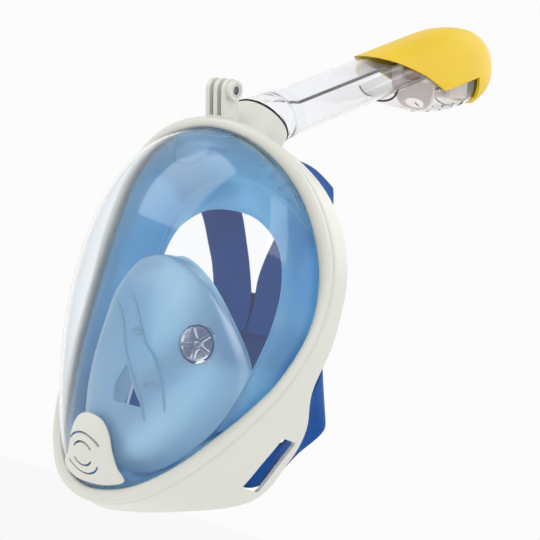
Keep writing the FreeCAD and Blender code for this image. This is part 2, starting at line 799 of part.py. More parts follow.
# Snorkel
seal = disc(mouth, plug_axis(), socket_radius + 0.3, 0.1, seal_thickness)
seal = seal.cut(disc(mouth, plug_axis(), socket_bore, 0, 3))
save("socket_seal", seal)
save("snorkel_elbow", make_elbow())
save("snorkel_tube", local(make_tube()))
save("tube_partition", local(make_partition()))
float_arm, float_seal, float_block = float_parts()
save("float_cage", local(make_cage()))
save("float_pin", local(float_pin_at(19)))
save("float_arm", local(float_arm))
save("float_seal", local(float_seal))
save("float_block", local(float_block))
save("top_cap", local(make_cap()))
save("port_seat", local(make_port_seat()))
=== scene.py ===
import math

import bmesh
import bpy
from mathutils import Matrix, Vector
from mathutils.bvhtree import BVHTree


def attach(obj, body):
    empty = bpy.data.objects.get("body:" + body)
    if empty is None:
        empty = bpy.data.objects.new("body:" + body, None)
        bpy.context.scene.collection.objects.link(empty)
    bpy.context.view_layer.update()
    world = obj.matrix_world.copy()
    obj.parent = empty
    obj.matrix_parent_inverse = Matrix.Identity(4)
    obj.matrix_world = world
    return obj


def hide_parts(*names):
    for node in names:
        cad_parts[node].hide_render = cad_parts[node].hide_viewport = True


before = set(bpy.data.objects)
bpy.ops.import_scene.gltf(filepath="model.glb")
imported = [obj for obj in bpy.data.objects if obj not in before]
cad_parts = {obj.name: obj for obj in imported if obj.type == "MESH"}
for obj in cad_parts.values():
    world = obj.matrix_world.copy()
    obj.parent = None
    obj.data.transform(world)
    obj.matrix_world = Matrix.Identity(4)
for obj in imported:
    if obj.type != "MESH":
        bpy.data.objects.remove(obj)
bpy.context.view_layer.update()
mm = 0.001
print("frame loaded")


# shader helpers: a Wire is one output socket, and sums on wires add Math nodes
class Wire:
    def __init__(self, finish, socket):
        self.finish = finish
        self.socket = socket

    def maths(self, operation, *terms):
        return self.finish.node("ShaderNodeMath", {"operation": operation}, *terms)

    def out(self, name):
        return Wire(self.finish, self.socket.node.outputs[name])

    def __add__(self, other):
        return self.maths("ADD", self, other)

    def __radd__(self, other):
        return self.maths("ADD", other, self)

    def __mul__(self, other):
        return self.maths("MULTIPLY", self, other)

    def __rmul__(self, other):
        return self.maths("MULTIPLY", other, self)

    def sine(self):
        return self.maths("SINE", self)


class Finish:
    def __init__(self, name, **constants):
        self.material = bpy.data.materials.new(name)
        self.material.use_nodes = True
        self.tree = self.material.node_tree
        self.shader = self.tree.nodes["Principled BSDF"]
        for socket, value in constants.items():
            self.shader.inputs[socket.replace("_", " ")].default_value = value
        self.place = self.node("ShaderNodeTexCoord", {}).out("Object")

    def node(self, kind, settings, *values, **named):
        made = self.tree.nodes.new(kind)
        for key, value in settings.items():
            setattr(made, key, value)
        for spot, value in list(enumerate(values)) + list(named.items()):
            if value is None:
                continue
            if isinstance(value, Wire):
                self.tree.links.new(value.socket, made.inputs[spot])
            else:
                made.inputs[spot].default_value = value
        return Wire(self, made.outputs[0])

    def noise(self, scale, detail=3.0, place=None):
        return self.node("ShaderNodeTexNoise", {}, Vector=place or self.place, Scale=scale, Detail=detail)

    def stretched(self, *scale):
        return self.node("ShaderNodeMapping", {}, Vector=self.place, Scale=scale)

    def between(self, factor, low, high):
        unused = [None] * 5  # sockets of the number and vector mixes
        made = self.node("ShaderNodeMix", {"data_type": "RGBA"}, factor, *unused, low, high)
        return Wire(self, made.socket.node.outputs[2])

    def feed(self, socket, wire):
        self.tree.links.new(wire.socket, self.shader.inputs[socket])

    def relief(self, height, strength, depth):
        self.feed("Normal", self.node("ShaderNodeBump", {}, Height=height, Strength=strength, Distance=depth))


def tint(red, green, blue):
    values = [c / 255 for c in (red, green, blue)]
    return tuple(c / 12.92 if c <= 0.04045 else ((c + 0.055) / 1.055) ** 2.4 for c in values) + (1.0,)


# finishes
def whitePlastic():
    f = Finish("mouldedWhite", Coat_Weight=0.25, Coat_Roughness=0.18, IOR=1.48)
    cloud = f.noise(14.0, 4.0)
    grain = f.noise(900.0, 2.0)
    f.feed("Base Color", f.between(cloud, tint(205, 205, 197), tint(217, 217, 209)))
    f.feed("Roughness", 0.34 + 0.12 * cloud)
    f.relief(grain + 0.4 * cloud, 0.25, 0.0002)
    return f


def clearPlastic(name, shade, streak, bend, coat):
    f = Finish(name, Transmission_Weight=1.0, IOR=bend, Coat_Weight=coat, Coat_Roughness=0.04)
    cloud = f.noise(30.0, 2.0, f.stretched(1.0, 1.0, streak))
    f.feed("Base Color", f.between(cloud, shade, (0.98, 0.99, 1.0, 1.0)))
    f.feed("Roughness", 0.015 + 0.05 * cloud)
    f.relief(cloud, 0.12, 0.0008)
    return f


def silicone(name, deep, pale, through, rough):
    f = Finish(name, Transmission_Weight=through, IOR=1.41, Coat_Weight=0.35, Coat_Roughness=0.12)
    cloud = f.noise(22.0, 3.0)
    skin = f.noise(700.0, 2.0)
    f.feed("Base Color", f.between(cloud, deep, pale))
    f.feed("Roughness", rough + 0.12 * cloud)
    f.relief(skin + 2.0 * cloud, 0.12, 0.0003)
    return f


def webbing():
    f = Finish("navyWebbing", Sheen_Weight=0.08, Sheen_Roughness=0.4, Specular_IOR_Level=0.25)
    run = f.node("ShaderNodeUVMap", {"uv_map": "weave"})
    apart = f.node("ShaderNodeSeparateXYZ", {}, run)
    along = apart.out("X")
    cross = apart.out("Y")
    warp = (cross * 4200.0).sine()
    weft = (along * 3000.0).sine()
    weave = warp * weft
    rib = (along * 700.0).sine()
    worn = f.noise(60.0, 4.0)
    f.feed("Base Color", f.between(0.35 + 0.25 * weave + 0.4 * worn, tint(0, 46, 104), tint(4, 92, 178)))
    f.feed("Roughness", 0.62 + 0.2 * worn)
    f.relief(weave + 0.5 * rib + 0.6 * worn, 0.5, 0.0004)
    return f


def padCloth():
    f = Finish("padCloth", Sheen_Weight=0.1, Sheen_Roughness=0.5, Specular_IOR_Level=0.25)
    apart = f.node("ShaderNodeSeparateXYZ", {}, f.place)
    knit = (apart.out("X") * 5200.0).sine() * (apart.out("Z") * 5200.0).sine()
    worn = f.noise(45.0, 4.0)
    f.feed("Base Color", f.between(0.3 + 0.3 * knit + 0.4 * worn, tint(2, 38, 96), tint(8, 76, 160)))
    f.feed("Roughness", 0.7 + 0.2 * worn)
    f.relief(knit + 0.8 * worn, 0.45, 0.0004)
    return f


def glossyColour(name, dark, light, rough, coat):
    f = Finish(name, Coat_Weight=coat, Coat_Roughness=0.08, Specular_IOR_Level=0.3)
    cloud = f.noise(18.0, 3.0)
    peel = f.noise(260.0, 2.0)
    f.feed("Base Color", f.between(cloud, dark, light))
    f.feed("Roughness", rough + 0.1 * cloud)
    f.relief(peel, 0.12, 0.0003)
    return f


def steelFinish():
    f = Finish("brushedSteel", Metallic=1.0)
    brush = f.noise(300.0, 3.0, f.stretched(1.0, 0.1, 0.1))
    f.feed("Base Color", f.between(brush, (0.42, 0.42, 0.44, 1.0), (0.62, 0.62, 0.64, 1.0)))
    f.feed("Roughness", 0.22 + 0.18 * brush)
    f.relief(brush, 0.15, 0.0001)
    return f


def foamFinish():
    f = Finish("floatFoam")
    cells = f.node("ShaderNodeTexVoronoi", {}, Vector=f.place, Scale=700.0)
    cloud = f.noise(40.0)
    f.feed("Base Color", f.between(cloud, tint(206, 196, 186), tint(232, 224, 214)))
    f.feed("Roughness", 0.75 + 0.15 * cloud)
    f.relief(cells, 0.4, 0.0004)
    return f


white = whitePlastic()
lensClear = clearPlastic("lensClear", (0.96, 0.985, 1.0, 1.0), 0.15, 1.16, 0.7)
tubeClear = clearPlastic("tubeClear", (0.95, 0.95, 0.965, 1.0), 0.1, 1.14, 1.0)
cageClear = clearPlastic("cageClear", (0.96, 0.91, 0.9, 1.0), 1.0, 1.14, 1.0)
skirtBlue = silicone("skirtSilicone", tint(74, 190, 255), tint(166, 230, 255), 0.42, 0.3)
cupBlue = silicone("cupSilicone", tint(138, 210, 252), tint(206, 238, 255), 0.6, 0.24)
flapClear = silicone("flapSilicone", (0.94, 0.96, 0.98, 1.0), (0.98, 0.99, 1.0, 1.0), 0.95, 0.15)
valveBlue = clearPlastic("valvePlastic", (0.8, 0.9, 0.98, 1.0), 1.0, 1.04, 0.4)
navy = webbing()
padNavy = padCloth()
blackRubber = glossyColour("blackRubber", tint(12, 12, 13), tint(30, 30, 32), 0.5, 0.0)
yellow = glossyColour("capYellow", tint(216, 178, 0), tint(230, 196, 2), 0.42, 0.08)
orange = glossyColour("sealOrange", tint(214, 96, 28), tint(234, 128, 52), 0.4, 0.1)
sealPale = glossyColour("sealPale", tint(222, 204, 196), tint(236, 224, 218), 0.4, 0.2)
armPale = glossyColour("armPale", tint(226, 170, 140), tint(238, 196, 172), 0.35, 0.3)
steel = steelFinish()
foam = foamFinish()
print("finishes made")


# mesh helpers
def finishMesh(name, bm, finish, body, replaced=(), sharp=38.0):
    for face in bm.faces:
        face.smooth = True
    for edge in bm.edges:
        edge.smooth = edge.calc_face_angle(0.0) < math.radians(sharp)
    mesh = bpy.data.meshes.new(name)
    bm.to_mesh(mesh)
    bm.free()
    mesh.materials.append(finish.material)
    piece = bpy.data.objects.new(name, mesh)
    bpy.context.scene.collection.objects.link(piece)
    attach(piece, body)
    if replaced:
        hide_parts(*replaced)
    return piece


def addModifier(piece, kind, **settings):
    modifier = piece.modifiers.new(kind.lower(), kind)
    for key, value in settings.items():
        setattr(modifier, key, value)
    return modifier


def soften(piece, width, segments=2, angle=32.0):
    limit = math.radians(angle)
    addModifier(piece, "BEVEL", width=width, segments=segments, limit_method="ANGLE", angle_limit=limit)


def subdivide(piece, levels):
    addModifier(piece, "SUBSURF", levels=levels, render_levels=levels)


def thicken(piece, thickness, offset=-1.0):
    addModifier(piece, "SOLIDIFY", thickness=thickness, offset=offset, use_even_offset=False)


carryOver = {"merge": 2e-6, "flatAngle": 0.4, "sharp": 30.0}


def fromCad(node, finish, body, width):  # a copy of the frame's node with softened edges
    bm = bmesh.new()
    bm.from_mesh(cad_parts[node].data)
    bmesh.ops.remove_doubles(bm, verts=bm.verts, dist=carryOver["merge"])
    flat = math.radians(carryOver["flatAngle"])
    bmesh.ops.dissolve_limit(bm, verts=bm.verts, edges=bm.edges, angle_limit=flat)
    piece = finishMesh(node + "_finished", bm, finish, body, [node], carryOver["sharp"])
    if width:
        soften(piece, width)
    return piece


def wholeRing(half):
    right = [Vector(p) for p in half]
    left = [Vector((-p.x, p.y, p.z)) for p in reversed(right[1:-1])]
    return right + left


def knotSteps(half):
    ring = wholeRing(half)
    return [math.sqrt((b - a).length) for a, b in zip(ring, ring[1:] + ring[:1])]


def smoothRing(half, steps, perSpan):  # closed curve through the stations, in metres
    ring = wholeRing(half)
    count = len(ring)
    points = []
    for i in range(count):
        before, here, ahead, beyond = (ring[(i + k) % count] for k in (-1, 0, 1, 2))
        s0, s1, s2 = (steps[(i + k) % count] for k in (-1, 0, 1))
        leave = ((ahead - here) / s1 * s0 + (here - before) / s0 * s1) / (s0 + s1)
        arrive = ((beyond - ahead) / s2 * s1 + (ahead - here) / s1 * s2) / (s1 + s2)
        for j in range(perSpan):
            t = j / perSpan
            a = 2 * t ** 3 - 3 * t ** 2 + 1
            b = t ** 3 - 2 * t ** 2 + t
            c = 3 * t ** 2 - 2 * t ** 3
            d = t ** 3 - t ** 2
            points.append((here * a + leave * (b * s1) + ahead * c + arrive * (d * s1)) * mm)
    return points


def growLoop(bm, loop, points):  # extrudes a closed loop of vertices onto new places
    count = len(loop)
    edges = [bm.edges.get((loop[i], loop[(i + 1) % count])) for i in range(count)]
    grown = bmesh.ops.extrude_edge_only(bm, edges=edges)
    order = {v: i for i, v in enumerate(loop)}
    fresh = [None] * count
    for vert in [g for g in grown["geom"] if isinstance(g, bmesh.types.BMVert)]:
        for edge in vert.link_edges:
            other = edge.other_vert(vert)
            if other in order:
                fresh[order[other]] = vert
    for vert, point in zip(fresh, points):
        vert.co = point
    return fresh


def loopEdges(bm, loop):
    return [bm.edges.get((loop[i], loop[(i + 1) % len(loop)])) for i in range(len(loop))]


def startLoop(bm, points):
    loop = bmesh.ops.create_circle(bm, segments=len(points), radius=1.0)["verts"]
    for vert, point in zip(loop, points):
        vert.co = point
    return list(loop)


def ringBody(rails, joined):
    bm = bmesh.new()
    first = startLoop(bm, rails[0])
    loop = first
    for rail in rails[1:]:
        loop = growLoop(bm, loop, rail)
    if joined:
        bmesh.ops.bridge_loops(bm, edges=loopEdges(bm, first) + loopEdges(bm, loop))
        bmesh.ops.recalc_face_normals(bm, faces=bm.faces)
    return bm, loop


def turnOutward(bm, inside):
    bm.normal_update()
    score = sum(f.normal.dot(f.calc_center_median() - inside) * f.calc_area() for f in bm.faces)
    if score < 0:
        bmesh.ops.reverse_faces(bm, faces=bm.faces)


def freeze(piece):  # keeps the result of the modifiers as the mesh
    bpy.context.view_layer.update()
    result = bpy.data.meshes.new_from_object(piece.evaluated_get(bpy.context.evaluated_depsgraph_get()))
    piece.modifiers.clear()
    bm = bmesh.new()
    bm.from_mesh(result)
    bm.to_mesh(piece.data)
    bm.free()
    bpy.data.meshes.remove(result)


def toolFrom(bm, name):
    bmesh.ops.recalc_face_normals(bm, faces=bm.faces)
    block = bpy.data.meshes.new(name)
    bm.to_mesh(block)
    bm.free()
    tool = bpy.data.objects.new(name, block)
    bpy.context.scene.collection.objects.link(tool)
    return tool


def applyCut(piece, tool):
    cut = addModifier(piece, "BOOLEAN", operation="DIFFERENCE", solver="EXACT", object=tool)
    bpy.context.view_layer.update()
    result = bpy.data.meshes.new_from_object(piece.evaluated_get(bpy.context.evaluated_depsgraph_get()))
    piece.modifiers.remove(cut)
    bm = bmesh.new()
    bm.from_mesh(result)
    for edge in bm.edges:
        edge.smooth = edge.calc_face_angle(0.0) < math.radians(45.0)
    bm.to_mesh(piece.data)
    bm.free()
    bpy.data.meshes.remove(result)
    bpy.data.objects.remove(tool)


def mixed(a, b, share):
    return [(1 - share) * Vector(p) + share * Vector(q) for p, q in zip(a, b)]


# shape of the mask, right half from top to bottom, in millimetres
mask = {
    "lensRim": [
        (0, -41.5, 119), (39.6, -36, 110), (68.9, -23, 86.5), (85.4, -9, 51), (89.5, -4, 15),
        (82.4, -9, -21.5), (73, -16.2, -44), (61, -24.8, -66), (45.5, -34, -89), (25.5, -41.8, -106.5),
        (0, -46, -113.5),
    ],
    "rearRim": [
        (0, -18, 126), (41, -14, 118), (73, 0, 95), (91.4, 12, 58), (94.4, 17, 15), (88, 20, -21),
        (81, 36, -42), (74, 38, -64), (62, 28, -94), (34, -9, -114), (0, -30, -123.5),
    ],
    "sealCrest": [
        (0, 2, 101), (33, 7, 94), (57, 17, 76), (71, 28, 47), (75, 32, 13), (69, 31, -19),
        (62, 26, -40), (53, 18, -62), (39, 7, -84), (22, -3, -99), (0, -7, -104),
    ],
    "faceEdge": [
        (0, 0, 79), (24, 1, 75), (43, 4, 60), (51, 8, 36), (52, 9, 10), (49, 8, -15),
        (45, 7, -36), (38, 5, -57), (28, 0, -77), (15, -5, -90), (0, -8, -94),
    ],
    "perSpan": 6,
    "widestBead": 8.0,
    "wall": 2.6,
}
rimSteps = knotSteps(mask["lensRim"])


def outwardOf(half):
    above = Vector((-half[1][0], 0, half[1][2]))
    below = Vector((-half[-2][0], 0, half[-2][2]))
    around = [above] + [Vector(p) for p in half] + [below]
    result = []
    for before, after in zip(around, around[2:]):
        along = Vector((after.x - before.x, 0, after.z - before.z)).normalized()
        result.append(Vector((-along.z, 0, along.x)))
    return result


rimOutward = outwardOf(mask["lensRim"])
beadWidth = [
    min((Vector(r) - Vector(e)).dot(o), mask["widestBead"])
    for e, r, o in zip(mask["lensRim"], mask["rearRim"], rimOutward)
]


def rimShift(out, back, share=0.0):
    rows = zip(mask["lensRim"], rimOutward, beadWidth)
    return [Vector(e) + o * (out + share * w) + Vector((0, back, 0)) for e, o, w in rows]


def shifted(half, outward, out, back):
    return [Vector(p) + o * out + Vector((0, back, 0)) for p, o in zip(half, outward)]


def rimRail(half):
    return smoothRing(half, rimSteps, mask["perSpan"])


# frame: rounded bead, crease, and the rear band with its wings and strap slots
frameShape = {
    # outward, backward and share of the bead's width for each rail
    "seat": [(0.2, 1.2, 0.0), (0.2, 0.2, 0.0)],
    "bead": [
        (0.3, -0.35, 0.0), (0.35, -0.95, 0.06), (0.0, -1.5, 0.22), (0.0, -1.8, 0.5), (0.0, -1.35, 0.8),
        (0.1, -0.2, 0.97),
    ],
    "side": [
        (0.25, 1.6, 1.0), (0.0, 3.4, 1.0), (-0.75, 4.5, 1.0), (-0.8, 5.2, 1.0), (0.1, 6.1, 1.0), (0.3, 7.0, 1.0),
    ],
    "rearLip": [(-0.1, 0.0), (-1.0, 0.35), (-2.4, 0.1)],
    "innerBack": -0.8,
    "innerFront": 8.0,
    "innerSeat": 1.4,
    "innerShares": [0.0, 0.3, 0.6, 1.0],
    "bandShares": [0.2, 0.45, 0.7, 0.9],
    "slotCorners": [(20, -51.5), (34, -51.5), (28, -87), (14, -87)],
    "slotRadius": 1.6,
    "slotReach": (50, 100),
}


def makeFrame():
    rearRail = rimRail(mask["rearRim"])
    front = frameShape["seat"] + frameShape["bead"] + frameShape["side"]
    rails = [rimRail(rimShift(out, back, share)) for out, back, share in front]
    bandStart = rails[-1]
    rails += [mixed(bandStart, rearRail, share) for share in frameShape["bandShares"]]
    rails += [rimRail(shifted(mask["rearRim"], rimOutward, out, back)) for out, back in frameShape["rearLip"]]
    innerEnd = rimRail(shifted(mask["rearRim"], rimOutward, -mask["wall"], frameShape["innerBack"]))
    innerStart = rimRail(rimShift(-mask["wall"], frameShape["innerFront"], 1.0))
    rails += [mixed(innerEnd, innerStart, share) for share in frameShape["innerShares"]]
    rails.append(rimRail(rimShift(-mask["wall"], frameShape["innerSeat"], 1.0)))
    bm = ringBody(rails, True)[0]
    turnOutward(bm, Vector((0, 0, 0)))
    bmesh.ops.recalc_face_normals(bm, faces=bm.faces)
    shell = finishMesh("frame_shell", bm, white, "mask", ["frame_ring"], 50.0)
    for side in (-1, 1):
        cutter = bmesh.new()
        made = bmesh.ops.create_cube(cutter, size=1.0)["verts"]
        corners = frameShape["slotCorners"]
        for vert in made:
            top = vert.co.z > 0
            y, z = corners[(1 if top else 2) if vert.co.y > 0 else (0 if top else 3)]
            vert.co = Vector((side * frameShape["slotReach"][vert.co.x > 0], y, z)) * mm
        crossing = [e for e in cutter.edges if abs((e.verts[0].co - e.verts[1].co).x) > 0.04]
        radius = frameShape["slotRadius"] * mm
        bmesh.ops.bevel(cutter, geom=crossing, offset=radius, affect="EDGES", segments=4, profile=0.5, material=-1)
        applyCut(shell, toolFrom(cutter, "slotCutter"))
    soften(shell, 0.35 * mm, 2, 40.0)
    return shell


makeFrame()
print("frame made")


# lens: bowed shell with its steep sides close to the rim
lensShape = {
    "profile": [
        (119, -41.5), (108, -49), (92, -57), (70, -64), (40, -69), (10, -70.5), (-20, -70.5),
        (-50, -68.5), (-74, -65), (-95, -57.5), (-113.5, -46),
    ],
    "shares": [0.997, 0.99, 0.975, 0.955, 0.93, 0.9, 0.86, 0.81, 0.75, 0.68, 0.6, 0.5, 0.4, 0.3, 0.2, 0.1],
    "edge": [(1.4, 2.6), (1.3, 1.5), (0.1, 1.3)],
    "middle": 5.0,
    "fullness": (1.95, 0.0036, -25, 0.0025),
    "wall": 2.2,
}


def lookup(table, x):  # straight-line value of a rising table
    for (xa, a), (xb, b) in zip(table, table[1:]):
        if x <= xb:
            return a + (b - a) * min(max((x - xa) / (xb - xa), 0.0), 1.0)
    return table[-1][1]


def splineWeights(t):  # weights of four neighbours, a share t past the second
    return (
        (-t + 2 * t * t - t ** 3) / 2,
        (2 - 5 * t * t + 3 * t ** 3) / 2,
        (t + 4 * t * t - 3 * t ** 3) / 2,
        (t ** 3 - t * t) / 2,
    )


def smoothProfile(table, parts=8):
    result = []
    rows = [table[0]] + table + [table[-1]]
    for a, b, c, d in zip(rows, rows[1:], rows[2:], rows[3:]):
        for j in range(parts):
            t = j / parts
            weights = splineWeights(t)
            result.append(tuple(sum(w * p[k] for w, p in zip(weights, (a, b, c, d))) for k in (0, 1)))
    return result + [table[-1]]


def lensDepth():
    rim = rimRail(mask["lensRim"])
    right = sorted((p.z / mm, p.x / mm, p.y / mm) for p in rim if p.x > -1e-6)
    widths = [(z, x) for z, x, y in right]
    depths = [(z, y) for z, x, y in right]
    profile = sorted(smoothProfile(lensShape["profile"]))

    def depth(x, z):
        edge = lookup(depths, z)
        front = min(lookup(profile, z), edge)
        share = min(abs(x) / max(lookup(widths, z), 0.01), 1.0)
        base, rise, chinLine, drop = lensShape["fullness"]
        fullness = base + rise * z - drop * max(chinLine - z, 0)
        return edge + (front - edge) * (1 - share ** fullness) ** (1 / fullness)

    return depth


depthAt = lensDepth()


def makeLens():
    rim = rimRail(mask["lensRim"])
    rails = [rimRail(rimShift(out, back)) for out, back in lensShape["edge"]] + [rim]
    for share in lensShape["shares"]:
        rail = []
        for p in rim:
            x = p.x / mm * share
            z = lensShape["middle"] + (p.z / mm - lensShape["middle"]) * share
            rail.append(Vector((x, depthAt(x, z), z)) * mm)
        rails.append(rail)
    bm, last = ringBody(rails, False)
    bmesh.ops.edgeloop_fill(bm, edges=loopEdges(bm, last))
    turnOutward(bm, Vector((0, -0.02, 0)))
    shell = finishMesh("lens_shell", bm, lensClear, "mask", ["lens"], 60.0)
    thicken(shell, lensShape["wall"] * mm)
    subdivide(shell, 1)
    return shell


makeLens()
print("lens made")


# face skirt: wall from the lens rim to the crest, then the thin sealing lip round the face
skirtShape = {
    "wall": 1.8,
    "flange": [(1.2, 4.3), (-2.0, 4.3), (-3.4, 4.4)],
    "waves": [(5, 0.9, 0.6), (9, 0.5, 2.1)],  # count, size and phase
    "side": [(0.15, 0.2), (0.35, 0.6), (0.55, 0.9), (0.75, 0.8), (0.9, 0.6)],
    "crestOut": 0.3,
    "lip": [(0.06, 0.7), (0.15, 1.0), (0.35, 0.7), (0.6, 0.2), (0.85, -0.2)],
    "lipRoll": [(0.5, 0.9), (1.3, 1.5)],
}


def makeSkirt():
    crest = rimRail(shifted(mask["sealCrest"], rimOutward, -0.6, -1.0))
    flange = [rimRail(rimShift(out, back)) for out, back in skirtShape["flange"]]
    start = flange[-1]
    edge = rimRail(mask["faceEdge"])
    unit = [o / mm for o in rimRail(rimOutward)]

    def between(a, b, share, out, back):
        return [p + u * (out * mm) + Vector((0, back * mm, 0)) for p, u in zip(mixed(a, b, share), unit)]

    def waved(share, out):  # soft folds that die away at the rim and at the crest
        ring = []
        for i, (p, u) in enumerate(zip(mixed(start, crest, share), unit)):
            angle = 2 * math.pi * i / len(start)
            fold = sum(size * math.sin(count * angle + phase) for count, size, phase in skirtShape["waves"])
            ring.append(p + u * ((out + fold * math.sin(math.pi * share)) * mm))
        return ring

    rails = flange + [waved(share, out) for share, out in skirtShape["side"]]
    rails.append(between(start, crest, 1.0, skirtShape["crestOut"], 0.0))
    rails += [between(crest, edge, share, 0.0, back) for share, back in skirtShape["lip"]]
    rails += [edge] + [between(edge, edge, 1.0, out, back) for out, back in skirtShape["lipRoll"]]
    bm = ringBody(rails, False)[0]
    turnOutward(bm, Vector((0, -0.05, 0)))
    skirt = finishMesh("face_skirt_soft", bm, skirtBlue, "mask", ["face_skirt"], 70.0)
    thicken(skirt, skirtShape["wall"] * mm, 0.0)
    subdivide(skirt, 1)
    return skirt


makeSkirt()
print("skirt made")


# air guide under the top of the frame, with a row of louvres beside it
guide = {
    "levels": [
        (113.0, 19.0, -46.5, -38.0), (109.0, 21.0, -50.0, -38.0), (105.5, 20.5, -52.5, -39.5),
        (103.0, 17.5, -53.5, -42.0), (96.0, 13.5, -56.0, -48.0), (89.0, 7.0, -57.5, -53.0),
    ],
    "outline": [(1, 0.75), (1, 0.3), (0.86, 0.06), (0.4, 0.0), (0.9, 1.0), (0.3, 1.0)],  # half width, depth
    "louvres": [0.9, 1.15, 1.4, 1.65, 1.9],
    "louvrePlace": (-4.6, 1.5),
    "louvreSize": (1.6, 8.0, 5.5),
}


def makeAirGuide():
    bm = bmesh.new()
    loop = None
    for z, half, front, back in guide["levels"]:
        deep = back - front
        sides = guide["outline"][:4]
        backs = guide["outline"][4:]
        outline = [(-x, y) for x, y in sides] + sides[::-1] + backs + [(-x, y) for x, y in backs[::-1]]
        ring = [Vector((half * x, front + deep * y, z)) * mm for x, y in outline]
        loop = growLoop(bm, loop, ring) if loop else startLoop(bm, ring)
        if z == guide["levels"][0][0]:
            bmesh.ops.edgeloop_fill(bm, edges=loopEdges(bm, loop))
    bmesh.ops.edgeloop_fill(bm, edges=loopEdges(bm, loop))
    bmesh.ops.recalc_face_normals(bm, faces=bm.faces)
    body = finishMesh("air_guide", bm, valveBlue, "mask", (), 30.0)
    soften(body, 0.5 * mm, 3, 25.0)


def makeLouvres():
    inner = rimShift(*guide["louvrePlace"])
    thick, deep, high = guide["louvreSize"]
    bm = bmesh.new()
    for side in (-1, 1):
        for step in guide["louvres"]:
            i = int(step)
            spot = Vector(inner[i]).lerp(Vector(inner[i + 1]), step - i)
            along = (Vector(inner[i + 1]) - Vector(inner[i])).normalized()
            outward = rimOutward[i].lerp(rimOutward[i + 1], step - i).normalized()
            frontward = along.cross(outward).normalized()
            turn = Matrix((along, frontward, outward)).transposed().to_4x4()
            turn.translation = spot * mm
            mirror = Matrix.Diagonal((side, 1.0, 1.0, 1.0))
            size = Matrix.Diagonal((thick * mm, deep * mm, high * mm, 1.0))
            bmesh.ops.create_cube(bm, size=1.0, matrix=mirror @ turn @ size)
    bmesh.ops.recalc_face_normals(bm, faces=bm.faces)
    row = finishMesh("rim_louvres", bm, valveBlue, "mask", (), 30.0)
    soften(row, 0.35 * mm, 3, 30.0)


makeAirGuide()
makeLouvres()
print("air guide made")


# nose cup with its front band, ribs, buttons and opening
cup = {
    "front": [
        (0, -50, 28), (12, -53, 23), (20, -56, 8), (22, -56, -15),
        (21, -56, -40), (18, -54, -62), (12, -50, -82), (0, -47, -90),
    ],
    "bulge": [
        (0, -42, 34), (19, -42, 28), (34, -24, 9), (43, -17, -15),
        (42, -18, -42), (35, -25, -68), (21, -34, -89), (0, -38, -98),
    ],
    "edge": [
        (0, -31, 36), (18, -25, 28), (32, -8, 9), (43, 13, -17),
        (43, 12, -42), (36, 6, -68), (20, -4, -89), (0, -8, -98),
    ],
    "noseZ": -28,
    "wall": 1.8,
    "perSpan": 6,
    "lip": 1.6,
    "lower": [(0.3, 0.4), (0.65, 0.6), (0.95, 0.2)],
    "upper": [(0.2, 0.9), (0.45, 2.0), (0.7, 2.0), (0.9, 0.9)],
    "caps": [(0.82, -57.2), (0.6, -58.4), (0.35, -58.9), (0.12, -59.0)],
    "ribs": [
        [(-13, -48, -3), (-4, -54, -14), (4, -55, -29), (14, -54, -44), (22, -52, -57), (28, -48, -69)],
        [(-7, -52, 5), (4, -56, -6), (13, -54, -20), (23, -50, -33), (31, -45, -47), (34, -40, -60)],
    ],
    "buttons": [(9, -56, -18), (25, -50, -47)],
    "buttonSize": (3.2, 2.8, 1.4),
    "opening": [(8.5, -38), (16.5, -49.5), (22.5, -60.5), (7.2, -61.5), (4.6, -51.5)],
    "valvePlaces": [(35.0, -33.8, -14.5), (-35.0, -33.8, -14.5)],
    "valveAxis": (0.85, -0.52, -0.05),
    "valveHole": 11.8,
}


def makeNoseCup():
    steps = knotSteps(cup["front"])
    perSpan = cup["perSpan"]
    outward = outwardOf(cup["front"])
    front, bulge, edge = (smoothRing(cup[k], steps, perSpan) for k in ("front", "bulge", "edge"))
    unit = [u / mm for u in smoothRing(outward, steps, perSpan)]
    noseZ = cup["noseZ"]

    def bowed(a, b, share, out):
        return [p + u * (out * mm) for p, u in zip(mixed(a, b, share), unit)]

    def cap(share, y):
        return [Vector((p.x * share, y * mm, noseZ * mm + (p.z - noseZ * mm) * share)) for p in front]

    rails = [bowed(edge, edge, 0.0, cup["lip"]), edge]
    rails += [bowed(edge, bulge, share, out) for share, out in cup["lower"]]
    rails += [bowed(bulge, front, share, out) for share, out in cup["upper"]]
    rails.append(bowed(front, front, 0.0, -1.0))
    rails += [cap(share, y) for share, y in cup["caps"]]
    bm, last = ringBody(rails, False)
    bmesh.ops.edgeloop_fill(bm, edges=loopEdges(bm, last))
    turnOutward(bm, Vector((0, 0, -0.03)))
    bm.normal_update()
    surface = BVHTree.FromBMesh(bm)
    shell = finishMesh("nose_cup_soft", bm, cupBlue, "mask", ["nose_cup"], 70.0)
    thicken(shell, cup["wall"] * mm)
    subdivide(shell, 1)
    freeze(shell)
    applyCut(shell, openingTool())
    axis = Vector(cup["valveAxis"]).normalized()
    for place in cup["valvePlaces"]:
        side = 1 if place[0] > 0 else -1
        facing = Vector((axis.x * side, axis.y, axis.z))
        applyCut(shell, roundTool(Vector(place) * mm, facing, cup["valveHole"] * mm, 8 * mm))
    for i, route in enumerate(cup["ribs"]):
        addRib("cup_rib_%d" % (i + 1), surface, route)
    for i, place in enumerate(cup["buttons"]):
        addButton("cup_button_%d" % (i + 1), surface, place)
    return shell


